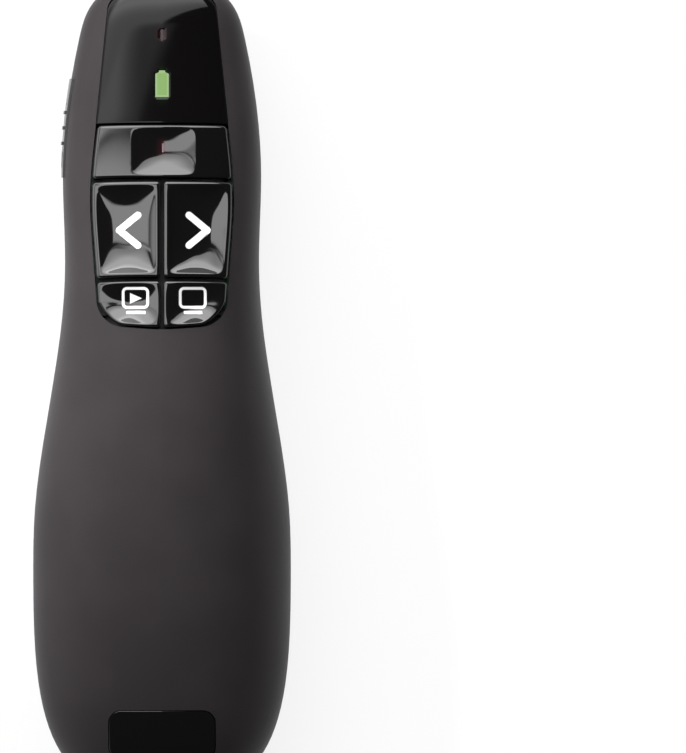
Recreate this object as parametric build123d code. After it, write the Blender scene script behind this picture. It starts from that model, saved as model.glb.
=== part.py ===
from build123d import *
import math
import os

os.makedirs("parts", exist_ok=True)

# A hand-held presentation clicker, in millimetres.
# The origin is on the table under the middle of the case; +Y is the nose, +Z is out of the buttons.

# --- Outer form -------------------------------------------------------------------------------
length = 118.0          # nose to tail
half = length / 2
hip_width = 37.76       # widest, at the palm
waist_width = 28.42     # narrowest, under the thumb
head_width = 29.06      # widest of the head
height = 26.9           # table to the top of the palm swell
hip_y = -24.0           # the palm keeps its full width behind here
waist_y = 17.7
head_y = 31.0
nose_taper = 2.34       # half width lost from the head to the indicators
nose_taper_run = 19.6
nose_taper_power = 1.83
crown_y = -13.0         # top of the palm swell
crown_radius = 180.0    # of the top line over the palm
deck_start_y = 8.5      # the top line runs down to the nose from here
deck_radius = 1000.0    # of the top line over the buttons
belly_sink = 2.0        # how far the rounded belly is cut off by the flat underside
belly_lift = 7.2        # how far the belly rises to the nose
belly_start_y = 2.0
belly_run = 46.0
seam_z = 12.3           # parting plane of the two shells, at the widest line
cap_overrun = 0.3       # the rounded ends are cut this far short of a point
tail_round = 35.2       # length over which the tail rounds off, seen from above
tail_top_round = 31.2   # the same, along its top line
nose_round = 8.4
tail_power = 3.4
tail_top_power = 6.0
nose_power = 3.2
nose_height_power = 4.5
# Handles of the cross-section's curves, as shares of its half width or of its height.
shoulder_rise = 0.60
shoulder_rise_gain = 0.10   # added from the palm to the head
deck_spread = 0.64
deck_spread_gain = 0.20
bilge_drop = 0.75
keel_spread = 1.0
keel_spread_loss = 0.1
palm_blend_y = -20.0
palm_blend_run = 45.0

# --- Shells -----------------------------------------------------------------------------------
wall = 1.6
lip_height = 1.2
lip_gap = 0.06
groove_depth = 0.35     # shadow line between the shells
groove_width = 0.3

# --- Key deck ---------------------------------------------------------------------------------
deck_y = 24.0           # the key deck touches the top line here
field_front_y = 38.3    # front end of the key opening, where the nose window begins
field_rear_y = 8.05
field_front_half = 9.65
field_bulge_half = 10.75   # corners of the outline, before they are rounded
field_bulge_y = 28.2
field_rear_half = 9.3
field_bow = 0.8         # how far the rear end bows out
field_bulge_radius = 60.0
field_corner_radius = 4.4
field_bow_radius = 30.0
edge_gap = 0.3          # buttons to the shell
key_gap = 0.55          # button to button
laser_row_rear_y = 30.3
arrow_row_rear_y = 15.75
lower_key_shift = 0.6   # the stems of the lower keys stand this far in and forward of their middle
key_proud = 0.3
key_corner = 0.5
key_skin = 1.2          # under the case surface, to the hollow of a cap
key_wall = 1.0
key_skirt_depth = 2.7   # deck surface to the lower edge of a cap
key_travel = 0.5
dish_radius = 14.0
dish_depth = 0.7
stem_radius = 1.3
stem_clearance = 0.08
stem_merge = 0.2        # of the stem, into the roof of its cap
stem_play = 0.05        # stem and key frame to the switch
travel_clearance = 0.1

# --- Key frame and main board -------------------------------------------------------------------
frame_thickness = 0.8
switch_size = 4.5
switch_height = 1.55
plunger_radius = 0.9
switch_floor = 0.2
board_thickness = 1.0
chip_place = (4.0, 20.5)
chip_size = (5.0, 5.0, 0.9)
crystal_place = (-3.6, 20.25)
crystal_size = (3.2, 2.5, 0.8)
board_front_y = half - 6.0
board_rear_y = 2.0
board_half = 10.4
board_front_half = 8.0
board_nose_y = half - 13.0   # the board narrows towards the nose from here
frame_half = 9.0
frame_nose_run = 7.0    # the frame is wide up to here, ahead of the arrow keys
frame_tail_margin = 2.0
frame_rear_margin = 1.0
frame_nose_half = 7.0
board_tail_half = 7.9
board_tail_y = 8.6      # the board is narrower behind here, between the case screws
board_screw_x = 5.9
board_screw_front_y = 41.6
board_screw_rear_y = 4.9
board_screw_radius = 0.7
board_screw_head = 1.4
board_screw_head_height = 0.9
board_screw_gap = 0.1   # around the screws in the frame and the board
board_screw_spare = 0.2 # of its hole, past its tip
board_screw_bite = 1.3  # into the top shell
boss_radius = 1.9

# --- Nose window and indicators -----------------------------------------------------------------
window_front_y = half - 1.75
window_front_half = 7.75
window_corner = 2.2
window_thickness = 1.0
window_gap = 0.05
window_seat = 1.2       # shell under the window
battery_light_y = half - 15.08
battery_light_width = 1.95
battery_light_length = 3.66
battery_nub_width = 0.9
battery_nub_length = 0.28
battery_shoulder = 0.22 # length over which its shoulders slope in
battery_corner = 0.12
laser_light_y = half - 7.8
laser_light_width = 0.45
laser_light_length = 1.7
laser_light_corner = 0.2
led_height = 0.8
led_size = 1.6
light_gap = 0.2         # light pipe to the key frame

# --- Power switch, on the left side -------------------------------------------------------------
power_y = 37.65
power_z = 13.3          # it straddles the parting plane
power_inset = 0.03      # the surface at that height, in from the widest line
bezel_length = 14.5
bezel_height = 4.8
bezel_proud = 0.25
bezel_depth = 1.6
bezel_cut = 3.0         # out of the side, beyond all of the switch
slider_length = 7.0
slider_height = 3.2
slider_gap = 0.1
slider_travel = 2.2
rib_pitch = 2.27
rib_width = 0.5
rib_proud = 0.2
slide_plate = 0.75
slide_switch_length = 8.6
slide_switch_depth = 2.6
slide_switch_height = 2.0
slide_switch_inset = 0.3   # from the edge of the board
slot_gap = 0.2
slot_depth = 0.5        # past the lever
lever_width = 1.0
lever_out = -3.0        # outer end of the lever, in from the side surface
lever_in = -6.5         # its inner end, in the slide switch
lever_gap = 0.15
fork_z = 12.7           # underside of the fork that holds the lever
fork_height = 1.4
fork_prong = 1.0
fork_overlap = 0.6      # of the fork and the lever
plate_margin = 1.0      # slide plate past the knob, lengthwise
plate_lap = 0.6         # and above and below it
slide_gap = 0.08
slider_sunk = 0.05      # knob below the bezel

# --- Laser module -------------------------------------------------------------------------------
laser_z = 9.7
barrel_radius = 2.8
barrel_front_y = half - 3.0
barrel_step_y = barrel_front_y - 2.8
barrel_rear_y = barrel_step_y - 10.2
barrel_nose_radius = 2.0
diode_length = 4.0      # the laser diode fills the rear of the barrel
laser_lens_thickness = 1.0
laser_lens_setback = 0.4
driver_length = 7.5     # of the laser's own board
driver_width = 5.2
driver_thickness = 0.8
laser_wire_pitch = 2.6
laser_wire_board_y = 30.0   # where the laser's wires reach the main board
beam_radius = 1.3
nose_lens_radius = 1.9
nose_lens_thickness = 0.8
nose_lens_sunk = 0.1
cradle_thickness = 1.2
cradle_half = 5.0
cradle_rear_inset = 2.5  # of the cradles, from the ends of the thick part of the barrel
cradle_front_inset = 1.7
beam_gap = 0.2

# --- Batteries and their bay ----------------------------------------------------------------------
cell_radius = 5.25      # AAA
cell_length = 44.5
cell_nub_radius = 1.9
cell_nub_length = 0.8
cell_pitch = 11.0
door_thickness = 1.5
cell_clearance = 0.2
bay_front_y = -1.0
bay_wall = 1.4
bay_side_wall = 2.2
bay_ceiling = 1.0
bay_clearance = 0.25
contact_height = 7.2
contact_width = 8.0
contact_dimple_radius = 2.2
contact_thickness = 0.3
spring_length = 2.5
spring_wire = 0.45
spring_coil = 3.2
spring_pitch = 0.95

wire_radius = 0.45
wire_gap = 0.1
wire_bend = 1.5
wire_lead = 3.0         # straight out of the contact
wire_rise = 2.8         # above the middle of the cells
wire_board_y = 7.4      # where the battery wires reach the board

# --- Battery door ---------------------------------------------------------------------------------
door_half = 11.2
door_gap = 0.15
door_front_y = 0.0
door_lip_z = 6.0
grip_count = 5          # grooves for the thumb
grip_pitch = 1.6
grip_width = 0.8
grip_half = 5.0
grip_depth = 0.35
grip_start = 6.0        # from the rear of the bay
tongue_reach = 0.9
tongue_low = 0.8
tongue_gap = 0.1

# --- Case screws ----------------------------------------------------------------------------------
case_screw_radius = 1.0
case_screw_head = 1.75
case_screw_head_height = 1.2
case_screw_drive_radius = 0.7
case_screw_drive_depth = 0.48
case_screw_spare = 0.4  # of its hole, past its tip
case_screw_length = 8.0
case_screw_seat_z = 8.4
front_screw_x = 10.8
front_screw_y = 4.2
rear_screw_x = 9.4
rear_screw_y = -half + 6.0
case_boss_radius = 2.1
web = 1.6               # between the rear bosses and the battery bay
counterbore_radius = 2.0
counterbore_wall = 0.9
case_screw_gap = 0.15

# --- USB receiver -----------------------------------------------------------------------------------
receiver_width = 14.2
receiver_height = 5.3
receiver_front_y = -half + 18.0
receiver_gap = 0.15
rail_thickness = 1.1
rail_overrun = 6.0      # rails ahead of the docked housing
plug_width = 12.0
plug_height = 4.5
plug_wall = 0.3
plug_reach = 12.4       # of the plug, out of its housing
plug_front_y = receiver_front_y + plug_reach
plug_root = 2.0         # of the plug, inside the housing
plug_window_x = 3.0     # the two square windows in each face of the plug
plug_window_width = 2.5
plug_window_setback = 4.2
plug_window_length = 2.3
usb_tongue_thickness = 1.9
usb_tongue_setback = 0.4
usb_contact_places = (-3.5, -1.0, 1.0, 3.5)
usb_contact_width = 1.0
usb_contact_thickness = 0.12
usb_contact_setback = 2.0
receiver_cavity_width = 11.0
receiver_cavity_height = 3.2
receiver_cavity_length = 13.0
receiver_board_width = 10.6
receiver_board_length = 12.5  # from the front of the housing
receiver_board_thickness = 0.8
receiver_sunk = 0.05    # of the housing's end, in the tail

# --- Tail emblem ------------------------------------------------------------------------------------
emblem_width = 15.7
emblem_front_y = -half + 11.6
emblem_length = 7.4
emblem_corner = 1.9
emblem_recess = 0.6
emblem_sunk = 0.12


def ease(t):
    """0 below 0, 1 above 1, and a smooth ramp between."""
    t = min(max(t, 0.0), 1.0)
    return t * t * (3 - 2 * t)


def blunt(distance, reach, power):
    """Superellipse quarter: 1 while distance is negative, falling to 0 at reach."""
    t = min(max(distance / reach, 0.0), 1.0)
    return (1 - t**power) ** (1 / power)


def half_width(y):
    if y < waist_y:
        return (waist_width + (hip_width - waist_width) * ease((waist_y - y) / (waist_y - hip_y))) / 2
    if y < head_y:
        return (waist_width + (head_width - waist_width) * ease((y - waist_y) / (head_y - waist_y))) / 2
    return head_width / 2 - nose_taper * ((y - head_y) / nose_taper_run) ** nose_taper_power


def crown(y):
    """Height of the top line, before the ends round off."""
    if y < deck_start_y:
        return height - (y - crown_y) ** 2 / (2 * crown_radius)
    slope = (deck_start_y - crown_y) / crown_radius
    run = y - deck_start_y
    return crown(deck_start_y - 1e-9) - slope * run - run**2 / (2 * deck_radius)


def belly(y):
    """Height of the bottom line, before the flat underside is cut."""
    return belly_lift * ease((y - belly_start_y) / belly_run) - belly_sink


def end_factors(y):
    """How much of the width, of the top and of the bottom is left as the ends round off."""
    reach = half + cap_overrun
    if y < 0:
        plan = blunt(tail_round - (reach + y), tail_round, tail_power)
        return plan, blunt(tail_top_round - (reach + y), tail_top_round, tail_top_power), plan
    plan = blunt(nose_round - (reach - y), nose_round, nose_power)
    side = blunt(nose_round - (reach - y), nose_round, nose_height_power)
    return plan, side, side


stations = [-1, -0.9915, -0.973, -0.94, -0.895, -0.83, -0.74, -0.61, -0.475, -0.31, -0.14, 0.03,
            0.17, 0.30, 0.41, 0.525, 0.64, 0.76, 0.86, 0.915, 0.95, 0.975, 0.99, 1]
forms = {}


def form(offset):
    """The rounded outer form, sunk inwards by offset on every side; the underside isn't cut yet."""
    if offset not in forms:
        sections = []
        for station in stations:
            y = station * half
            plan, top, bottom = end_factors(y)
            w = half_width(y) * plan - offset
            zt = seam_z + (crown(y) - seam_z) * top - offset
            zb = seam_z + (belly(y) - seam_z) * bottom + offset
            front = ease((y - palm_blend_y) / palm_blend_run)
            shoulder = seam_z + (shoulder_rise + shoulder_rise_gain * front) * (zt - seam_z)
            bilge = seam_z + bilge_drop * (zb - seam_z)
            deck_x = (deck_spread + deck_spread_gain * front) * w
            keel_x = (keel_spread - keel_spread_loss * front) * w
            at_y = station * (half - offset)
            right, left = (w, at_y, seam_z), (-w, at_y, seam_z)
            ridge, keel = (0, at_y, zt), (0, at_y, zb)
            sections.append(Face(Wire([
                Bezier(right, (w, at_y, shoulder), (deck_x, at_y, zt), ridge),
                Bezier(ridge, (-deck_x, at_y, zt), (-w, at_y, shoulder), left),
                Bezier(left, (-w, at_y, bilge), (-keel_x, at_y, zb), keel),
                Bezier(keel, (keel_x, at_y, zb), (w, at_y, bilge), right),
            ])))
        forms[offset] = loft(sections)
    return forms[offset]


def block(x, y, z):
    """A box from three (low, high) pairs."""
    sizes = [high - low for low, high in (x, y, z)]
    centre = [(high + low) / 2 for low, high in (x, y, z)]
    return Pos(*centre) * Box(*sizes)


def post(x, y, low, high, radius):
    return Pos(x, y, (low + high) / 2) * Cylinder(radius, high - low)


def rod(y_low, y_high, radius, x=0.0, z=laser_z):
    """A cylinder along Y."""
    return Pos(x, (y_low + y_high) / 2, z) * Rot(90, 0, 0) * Cylinder(radius, y_high - y_low)


far = length
through = 6.0           # half the height of the prisms that cut through the deck
above_seam = block((-far, far), (-far, far), (seam_z, far))
below_seam = block((-far, far), (-far, far), (-far, seam_z))


def above(z):
    return block((-far, far), (-far, far), (z, far))


# --- Key deck frame: a plane that touches the top line at deck_y ---------------------------------
deck_slope = (deck_start_y - crown_y) / crown_radius + (deck_y - deck_start_y) / deck_radius
deck_tilt = math.atan(deck_slope)
deck_normal = Vector(0, math.sin(deck_tilt), math.cos(deck_tilt))
deck = Plane(origin=(0, deck_y, crown(deck_y)), x_dir=(1, 0, 0), z_dir=deck_normal)


def along_deck(y):
    """Distance along the deck of a point that lies at y, seen from above."""
    return (y - deck_y) / math.cos(deck_tilt)


def deck_prism(sketch, low, high):
    """A sketch in deck coordinates, drawn out square to the deck between two depths."""
    return extrude(deck * Pos(0, 0, low) * sketch, amount=high - low, dir=deck_normal)


def deck_post(x, y, low, high, radius):
    return deck * Pos(x, along_deck(y), (low + high) / 2) * Cylinder(radius, high - low)


def deck_block(x, y, low, high):
    centre = ((x[0] + x[1]) / 2, (along_deck(y[0]) + along_deck(y[1])) / 2, (low + high) / 2)
    return deck * Pos(*centre) * Box(x[1] - x[0], along_deck(y[1]) - along_deck(y[0]), high - low)


def band(x, y):
    """A rectangle in deck coordinates, from x and y ranges seen from above."""
    low, high = along_deck(y[0]), along_deck(y[1])
    return Pos((x[0] + x[1]) / 2, (low + high) / 2) * Rectangle(x[1] - x[0], high - low)


# --- Key outlines -------------------------------------------------------------------------------
def key_field():
    """The opening for the buttons, in deck coordinates."""
    right = [(field_front_half, field_front_y), (field_bulge_half, field_bulge_y),
             (field_rear_half, field_rear_y + field_bow)]
    left = [(-x, y) for x, y in reversed(right)]
    points = [(x, along_deck(y)) for x, y in right + [(0, field_rear_y)] + left]
    radii = [field_bulge_radius, field_corner_radius, field_bow_radius, field_corner_radius, field_bulge_radius]
    return make_face([*FilletPolyline(*points, radius=radii).edges(), Line(points[-1], points[0])])


def rounded(sketch, radius):
    """Rounds every outer corner of a sketch."""
    return offset(offset(sketch, amount=-radius, kind=Kind.INTERSECTION), amount=radius)


opening = key_field()
caps_field = offset(opening, amount=-edge_gap)
between = key_gap / 2
laser_front_y = field_front_y - edge_gap
arrow_front_y = laser_row_rear_y - key_gap
lower_front_y = arrow_row_rear_y - key_gap
rows = {
    "laser": ((-far, far), (laser_row_rear_y, far)),
    "previous": ((-far, -between), (arrow_row_rear_y, arrow_front_y)),
    "next": ((between, far), (arrow_row_rear_y, arrow_front_y)),
    "slideshow": ((-far, -between), (0, lower_front_y)),
    "black_screen": ((between, far), (0, lower_front_y)),
}
arrow_x = (field_bulge_half - 2 * edge_gap + between) / 2
arrow_y = (arrow_row_rear_y + arrow_front_y) / 2
lower_x = arrow_x - lower_key_shift
lower_y = (field_rear_y + lower_front_y) / 2 + lower_key_shift
key_centres = {
    "laser": (0, (laser_row_rear_y + laser_front_y) / 2),
    "previous": (-arrow_x, arrow_y),
    "next": (arrow_x, arrow_y),
    "slideshow": (-lower_x, lower_y),
    "black_screen": (lower_x, lower_y),
}

# Depths below the deck, from the caps down to the board.
frame_top = -(key_skirt_depth + key_travel + travel_clearance)
frame_low = frame_top - frame_thickness
switch_top = frame_low - stem_play
board_top = switch_top - switch_height
board_low = board_top - board_thickness
stem_low = switch_top + key_travel + stem_play


def key_cap(name):
    x_range, y_range = rows[name]
    outline = rounded(caps_field & band(x_range, y_range), key_corner)
    cap = deck_prism(outline, -key_skirt_depth, through) & form(-key_proud)
    hollow = deck_prism(offset(outline, amount=-key_wall), -key_skirt_depth, through) & form(key_skin)
    x, y = key_centres[name]
    surface = crown(y) + key_proud
    if name in ("laser", "previous", "next"):
        cap -= Pos(x, y, 0) * Pos(0, 0, surface + dish_radius - dish_depth) * Sphere(dish_radius)
    stem = deck_post(x, y, stem_low, 0, stem_radius) & form(key_skin - stem_merge)
    return cap - hollow + stem


# --- Shells -------------------------------------------------------------------------------------
def lip_ring(outer, inner, low, high):
    return (form(outer) - form(inner)) & block((-far, far), (-far, far), (low, high))


def window_outline(grow=0.0):
    """The nose window, in deck coordinates."""
    front = along_deck(window_front_y)
    rear = along_deck(field_front_y)
    corners = [(field_front_half, rear), (window_front_half, front),
               (-window_front_half, front), (-field_front_half, rear)]
    sheet = make_face(Polyline(*corners, close=True))
    sheet = fillet(sheet.vertices().group_by(Axis.Y)[-1], window_corner)
    return offset(sheet, amount=grow) if grow else sheet


def window_seat_pad():
    """Thickens the shell under the nose window."""
    pad = deck_prism(window_outline(window_seat), -through, through) & above_seam
    return pad - form(window_thickness + window_seat)


board_screw_places = [(x, y) for x in (-board_screw_x, board_screw_x)
                      for y in (board_screw_rear_y, board_screw_front_y)]
case_screw_places = [(-front_screw_x, front_screw_y), (front_screw_x, front_screw_y),
                     (-rear_screw_x, rear_screw_y), (rear_screw_x, rear_screw_y)]
case_screw_top = case_screw_seat_z + case_screw_length
receiver_low = door_thickness + cell_clearance + 2 * cell_radius + cell_clearance + bay_ceiling + 2 * receiver_gap
receiver_high = receiver_low + receiver_height


def emblem_outline(grow=0.0):
    middle = emblem_front_y - emblem_length / 2
    width, run = emblem_width + 2 * grow, emblem_length + 2 * grow
    return Pos(0, middle, 0) * RectangleRounded(width, run, emblem_corner + grow)


def emblem_prism(grow=0.0):
    return extrude(emblem_outline(grow), amount=2 * height)


def battery_light_outline(grow=0.0):
    """A battery standing on end, with its terminal towards the nose."""
    middle = along_deck(battery_light_y)
    low, high = middle - battery_light_length / 2, middle + battery_light_length / 2
    body, nub = battery_light_width / 2, battery_nub_width / 2
    right = [(body, low), (body, high - battery_shoulder), (nub, high), (nub, high + battery_nub_length)]
    outline = make_face(Polyline(*right, *[(-x, y) for x, y in reversed(right)], close=True))
    outline = fillet(outline.vertices(), battery_corner)
    return offset(outline, amount=grow) if grow else outline


def laser_light_outline(grow=0.0):
    middle = along_deck(laser_light_y)
    width, run = laser_light_width + 2 * grow, laser_light_length + 2 * grow
    return Pos(0, middle) * RectangleRounded(width, run, laser_light_corner)


# The side frame: x along the power slider's travel, y out of the left side, z upwards.
side_x = -(half_width(power_y) - power_inset)
side_turn = (half_width(power_y + 1) - half_width(power_y - 1)) / 2
travel_dir = Vector(-side_turn, 1, 0).normalized()
side_out = Vector(-1, -side_turn, 0).normalized()
side = Plane(origin=(side_x, power_y, power_z), x_dir=travel_dir, z_dir=travel_dir.cross(side_out))


def side_block(run, out, up):
    """A box in the side frame from three (low, high) pairs."""
    return side * block(run, out, up)


def make_top_shell():
    upper = form(0) & above_seam
    bosses = [deck_post(x, y, frame_top, through, boss_radius) for x, y in board_screw_places]
    bosses += [post(x, y, seam_z, height, case_boss_radius) for x, y in case_screw_places]
    rebate_top = seam_z + lip_height + lip_gap
    inside = form(wall) - window_seat_pad()
    inside += form(wall / 2) & block((-far, far), (-far, far), (-far, rebate_top))
    shell = upper - (inside - bosses)
    shell -= block((-far, far), (-far, far), (seam_z - 1, seam_z + groove_width)) - form(groove_depth)
    holes = [deck_prism(opening & band((-far, far), (0, field_front_y)), -through, through),
             deck_prism(battery_light_outline(window_gap), -through, through),
             deck_prism(laser_light_outline(window_gap), -through, through)]
    holes += [deck_post(x, y, frame_top - 1, frame_top + board_screw_bite + board_screw_spare, board_screw_radius)
              for x, y in board_screw_places]
    holes += [post(x, y, seam_z - 1, case_screw_top, case_screw_radius) for x, y in case_screw_places]
    tail_slot = receiver_width / 2 + receiver_gap
    holes.append(block((-tail_slot, tail_slot), (-far, rear_screw_y + case_boss_radius),
                       (receiver_low - receiver_gap, receiver_high + receiver_gap)))
    holes.append(side_block((-bezel_length / 2, bezel_length / 2), (-bezel_depth - 1, bezel_cut),
                            (-bezel_height / 2, bezel_height / 2)))
    recesses = deck_prism(window_outline(window_gap), -through, through) - form(window_thickness)
    recesses += emblem_prism() - form(emblem_recess)
    return shell - holes - recesses


def flat_form(offset):
    """The form with its underside cut flat."""
    return form(offset) & above(max(offset, 0))


bay_side = cell_pitch / 2 + cell_radius + bay_clearance
bay_top = door_thickness + 2 * cell_clearance + 2 * cell_radius
cell_z = door_thickness + cell_clearance + cell_radius
wire_z = cell_z + wire_rise
pole_x = cell_pitch / 2
bay_rear_y = bay_front_y - cell_length - spring_length - cell_nub_length - 2 * contact_thickness
door_slot_half = door_half + tongue_reach + door_gap
door_slot_front = door_front_y + tongue_reach + door_gap
lip_front_y = bay_rear_y - bay_wall - door_gap
cradle_places = [barrel_rear_y + cradle_rear_inset, barrel_step_y - cradle_front_inset]


def make_bottom_shell():
    shell = (flat_form(0) - flat_form(wall)) & below_seam
    trimmed = [post(x, front_screw_y, 0, seam_z, counterbore_radius + counterbore_wall)
               for x in (-front_screw_x, front_screw_x)]
    trimmed += [block((-cradle_half, cradle_half), (y, y + cradle_thickness), (0, laser_z)) for y in cradle_places]
    bay_low = door_thickness + tongue_gap
    bay_outer = bay_side + bay_side_wall
    bay = block((-bay_outer, bay_outer), (bay_rear_y - bay_wall, bay_front_y + bay_wall),
                (bay_low, bay_top + bay_ceiling))
    added = [lip_ring(wall / 2 + lip_gap, wall, seam_z - 2 * lip_height, seam_z + lip_height),
             Compound(trimmed) & flat_form(wall / 2), bay]
    for x in (-rear_screw_x, rear_screw_x):
        added.append(post(x, rear_screw_y, case_screw_seat_z, seam_z, case_boss_radius))
        added.append(block((x - web / 2, x + web / 2), (rear_screw_y, bay_rear_y), (case_screw_seat_z, seam_z)))
    rail_gap = receiver_width / 2 + receiver_gap
    for rail in ((-rail_gap - rail_thickness, -rail_gap), (rail_gap, rail_gap + rail_thickness)):
        added.append(block(rail, (bay_rear_y, receiver_front_y + rail_overrun),
                           (bay_top + bay_ceiling, receiver_high - rail_thickness)))

    slot = (-door_half - door_gap, door_half + door_gap)
    cuts = [block((-bay_side, bay_side), (bay_rear_y, bay_front_y), (0, bay_top)),
            rod(cradle_places[0] - 1, cradle_places[1] + cradle_thickness + 1, barrel_radius),
            rod(half - 2 * wall, half + 1, beam_radius + beam_gap),
            rod(half - nose_lens_thickness, half + 1, nose_lens_radius),
            block(slot, (-far, door_front_y + door_gap), (-1, bay_low)),
            block(slot, (-far, bay_rear_y - bay_wall), (-1, door_lip_z + door_gap)),
            block((-door_slot_half, door_slot_half), (-far, door_slot_front), (tongue_low - tongue_gap, bay_low)),
            side_block((-bezel_length / 2 - tongue_gap, bezel_length / 2 + tongue_gap), (-bezel_depth - 1, bezel_cut),
                       (-bezel_height / 2 - tongue_gap, bezel_height / 2))]
    cuts += [post(x, front_screw_y, -1, case_screw_seat_z, counterbore_radius)
             for x in (-front_screw_x, front_screw_x)]
    cuts += [post(x, y, 0, seam_z + 1, case_screw_radius + case_screw_gap) for x, y in case_screw_places]
    cuts += [rod(bay_front_y - 1, bay_front_y + bay_wall + 1, wire_radius + wire_gap, x, wire_z)
             for x in (-pole_x, pole_x)]
    return shell + added - cuts


def make_battery_door():
    skin = (flat_form(0) - flat_form(door_thickness))
    door = skin & block((-door_half, door_half), (-far, door_front_y), (-1, door_thickness))
    door += skin & block((-door_half, door_half), (-far, lip_front_y), (-1, door_lip_z))
    tongue_half = door_half + tongue_reach
    door += block((-tongue_half, tongue_half), (bay_rear_y, door_front_y + tongue_reach),
                  (tongue_low, door_thickness))
    for groove in range(grip_count):
        y = bay_rear_y + grip_start + grip_pitch * groove
        door -= block((-grip_half, grip_half), (y, y + grip_width), (-1, grip_depth))
    return door


def mirrored_outline(right):
    """A sheet in deck coordinates, from the points of its right side, front to rear."""
    points = right + [(-x, y) for x, y in reversed(right)]
    return make_face(Polyline(*[(x, along_deck(y)) for x, y in points], close=True))


def make_key_frame():
    nose_y = laser_row_rear_y + frame_nose_run
    tail_y = board_tail_y + frame_tail_margin
    outline = [(frame_nose_half, board_screw_front_y + boss_radius), (frame_nose_half, nose_y), (frame_half, nose_y),
               (frame_half, tail_y), (board_tail_half, tail_y), (board_tail_half, board_rear_y + frame_rear_margin)]
    plate = deck_prism(mirrored_outline(outline), frame_low, frame_top)
    plate -= deck_prism(battery_light_outline(light_gap), frame_low - 1, frame_top + 1)
    for x, y in key_centres.values():
        plate -= deck_post(x, y, frame_low - 1, frame_top + 1, stem_radius + stem_clearance)
    for x, y in board_screw_places:
        plate += deck_post(x, y, board_top, frame_low, boss_radius)
        plate -= deck_post(x, y, board_top - 1, frame_top + 1, board_screw_radius + board_screw_gap)
    return plate


def make_main_board():
    outline = [(board_front_half, board_front_y), (board_half, board_nose_y), (board_half, board_tail_y),
               (board_tail_half, board_tail_y), (board_tail_half, board_rear_y)]
    board = deck_prism(mirrored_outline(outline), board_low, board_top)
    for x, y in board_screw_places:
        board -= deck_post(x, y, board_low - 1, board_top + 1, board_screw_radius + board_screw_gap)
    return board


def board_part(place, size):
    """A part soldered under the board, at a place seen from above."""
    (x, y), (width, run, thickness) = place, size
    return deck_block((x - width / 2, x + width / 2), (y - run / 2, y + run / 2), board_low - thickness, board_low)


def make_board_screws():
    screws = []
    for x, y in board_screw_places:
        head = deck_post(x, y, board_low - board_screw_head_height, board_low, board_screw_head)
        screws.append(head + deck_post(x, y, board_low, frame_top + board_screw_bite, board_screw_radius))
    return Compound(screws)


def make_case_screws():
    screws = []
    for x, y in case_screw_places:
        head = post(x, y, case_screw_seat_z - case_screw_head_height, case_screw_seat_z, case_screw_head)
        drive_top = case_screw_seat_z - case_screw_head_height + case_screw_drive_depth
        shank = post(x, y, case_screw_seat_z, case_screw_top - case_screw_spare, case_screw_radius)
        screws.append(head + shank - post(x, y, 0, drive_top, case_screw_drive_radius))
    return Compound(screws)


def switch_housing(name):
    x, y = key_centres[name]
    case = deck * Pos(x, along_deck(y), (board_top + switch_top) / 2) * Box(switch_size, switch_size, switch_height)
    return case - deck_post(x, y, board_top + switch_floor, switch_top + 1, plunger_radius + stem_clearance)


def switch_plunger(name):
    x, y = key_centres[name]
    return deck_post(x, y, board_top + switch_floor + stem_play + key_travel, stem_low, plunger_radius)


def make_nose_window():
    window = deck_prism(window_outline(), -through, through) & (form(0) - form(window_thickness))
    window = window & above_seam
    window -= deck_prism(battery_light_outline(window_gap), -through, through)
    return window - deck_prism(laser_light_outline(window_gap), -through, through)


def light_pipe(outline):
    return deck_prism(outline, board_top + led_height, through) & form(0)


def make_leds():
    places = [(0, battery_light_y), (0, laser_light_y)]
    return Compound([deck * Pos(x, along_deck(y), board_top + led_height / 2) * Box(led_size, led_size, led_height)
                     for x, y in places])


slider_window = (-slider_length / 2 - slider_gap - slider_travel, slider_length / 2 + slider_gap)
fork_low = fork_z - power_z


def make_bezel():
    plate = side_block((-bezel_length / 2, bezel_length / 2), (-bezel_depth, bezel_cut),
                       (-bezel_height / 2, bezel_height / 2))
    plate = plate & form(-bezel_proud)
    return plate - side_block(slider_window, (-bezel_depth - 1, bezel_cut + 1),
                              (-slider_height / 2 - slider_gap, slider_height / 2 + slider_gap))


def make_slider():
    span = (-slider_length / 2, slider_length / 2)
    up = (-slider_height / 2, slider_height / 2)
    knob = side_block(span, (-bezel_depth - slide_gap, bezel_cut), up) & form(-bezel_proud + slider_sunk)
    ribs = [side_block((n * rib_pitch - rib_width / 2, n * rib_pitch + rib_width / 2), (-bezel_depth, bezel_cut), up)
            for n in (-1, 0, 1)]
    knob += Compound(ribs) & form(-bezel_proud - rib_proud)
    back = (-bezel_depth - slide_gap - slide_plate, -bezel_depth - slide_gap)
    plate_end, plate_top = slider_length / 2 + plate_margin, slider_height / 2 + plate_lap
    plate = side_block((-plate_end, plate_end), back, (-plate_top, plate_top))
    for low in (-lever_width / 2 - fork_prong, lever_width / 2):
        plate += side_block((low, low + fork_prong), (lever_out - fork_overlap, back[0]),
                            (fork_low, fork_low + fork_height))
    return knob + plate


def make_slide_switch():
    centre_x = -board_half + slide_switch_depth / 2 + slide_switch_inset
    case = deck * Pos(centre_x, along_deck(power_y), board_low - slide_switch_height / 2) * Box(
        slide_switch_depth, slide_switch_length, slide_switch_height)
    slot = side_block((-lever_width / 2 - slider_travel - slot_gap, lever_width / 2 + slot_gap),
                      (lever_in - slot_depth, 0), (fork_low, fork_low + fork_height))
    return case - slot


def make_lever():
    return side_block((-lever_width / 2, lever_width / 2), (lever_in, lever_out),
                      (fork_low + lever_gap, fork_low + fork_height - lever_gap))


def make_barrel():
    barrel = rod(barrel_rear_y, barrel_step_y, barrel_radius) + rod(barrel_step_y, barrel_front_y, barrel_nose_radius)
    return barrel - rod(barrel_rear_y + diode_length, barrel_front_y + 1, beam_radius)


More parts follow.
